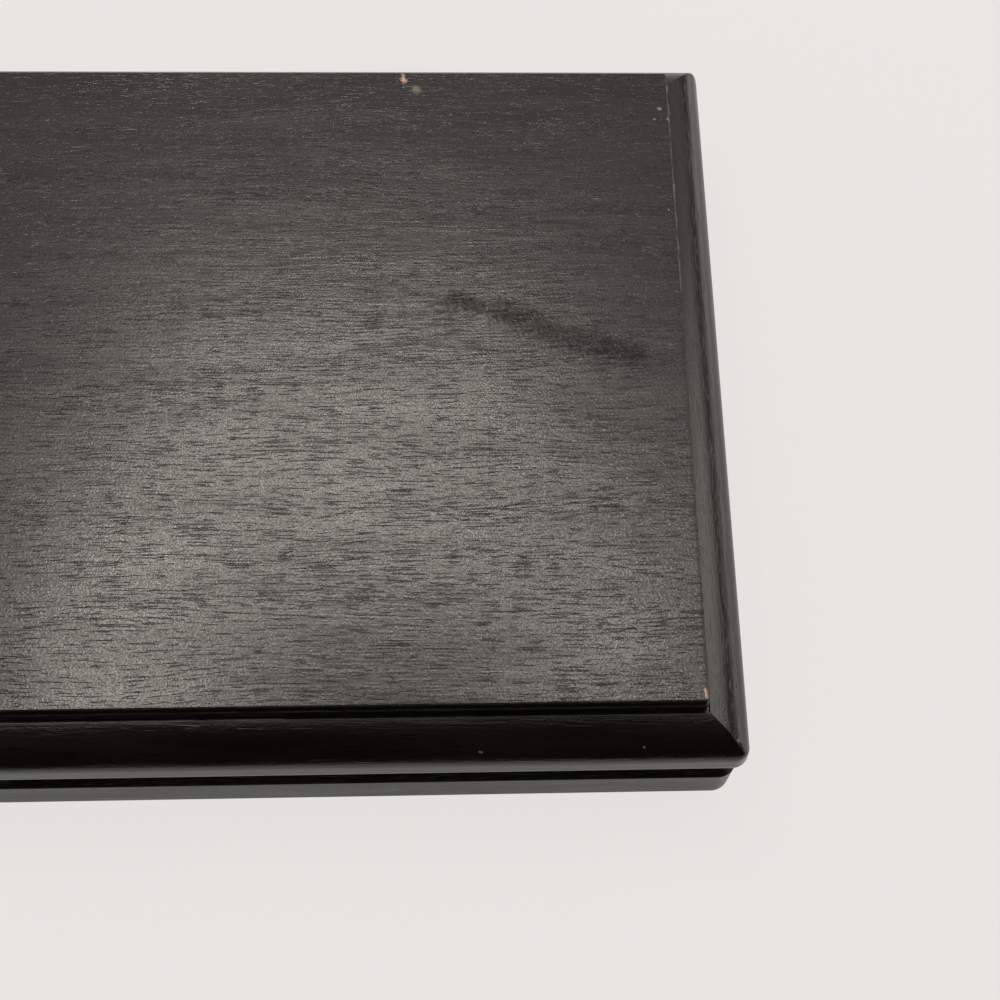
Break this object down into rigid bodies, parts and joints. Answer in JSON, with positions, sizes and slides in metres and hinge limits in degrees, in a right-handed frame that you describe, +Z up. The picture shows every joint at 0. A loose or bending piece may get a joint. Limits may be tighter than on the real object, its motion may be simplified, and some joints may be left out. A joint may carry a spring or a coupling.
{
  "type": "jewelry valet box",
  "caption": "Shallow dark stained wood jewelry valet box, its raised-panel lid hinged at the back over lined compartments and ring rolls.",
  "frame": {"origin": "middle of the underside, on the surface that the box stands on", "axes": "+X to the right along the front edge, +Y to the hinged back, +Z up"},
  "size_m": [0.305, 0.229, 0.0515],
  "materials": {
    "stained_wood": "black-brown stain under satin lacquer",
    "open_pore_veneer": "black-brown stained open-pore veneer under thin satin lacquer",
    "bottom_board": "plain hardboard",
    "base_felt": "black wool felt",
    "lining_velvet": "short-pile velvet over card and foam",
    "hinge_brass": "satin brass",
    "hinge_steel": "bright drawn steel"
  },
  "bodies": {
    "case": {"case_wall_front": "stained_wood", "case_wall_back": "stained_wood", "case_wall_left": "stained_wood", "case_wall_right": "stained_wood", "base_moulding_front": "stained_wood", "base_moulding_back": "stained_wood", "base_moulding_left": "stained_wood", "base_moulding_right": "stained_wood", "case_bottom": "bottom_board", "base_felt": "base_felt", "floor_lining": "lining_velvet", "wall_lining_front": "lining_velvet", "wall_lining_back": "lining_velvet", "wall_lining_left": "lining_velvet", "wall_lining_right": "lining_velvet", "divider_long": "lining_velvet", "divider_cross": "lining_velvet", "divider_short_1": "lining_velvet", "divider_short_2": "lining_velvet", "ring_roll_1": "lining_velvet", "ring_roll_2": "lining_velvet", "ring_roll_3": "lining_velvet", "ring_roll_4": "lining_velvet", "ring_roll_5": "lining_velvet", "case_hinge_leaf_left": "hinge_brass", "case_hinge_leaf_right": "hinge_brass", "case_hinge_screws": "hinge_brass", "hinge_pin_left": "hinge_steel", "hinge_pin_right": "hinge_steel"},
    "lid": {"lid_moulding_front": "stained_wood", "lid_moulding_back": "stained_wood", "lid_moulding_left": "stained_wood", "lid_moulding_right": "stained_wood", "lid_panel": "stained_wood", "lid_veneer": "open_pore_veneer", "lid_pad": "lining_velvet", "lid_hinge_leaf_left": "hinge_brass", "lid_hinge_leaf_right": "hinge_brass", "lid_hinge_screws": "hinge_brass"}
  },
  "joints": [
    {"name": "lid_hinge", "type": "hinge", "parent": "case", "child": "lid", "pos_m": [0, 0.1098, 0.02715], "axis": [-1, 0, 0], "range_deg": [0, 100]}
  ]
}
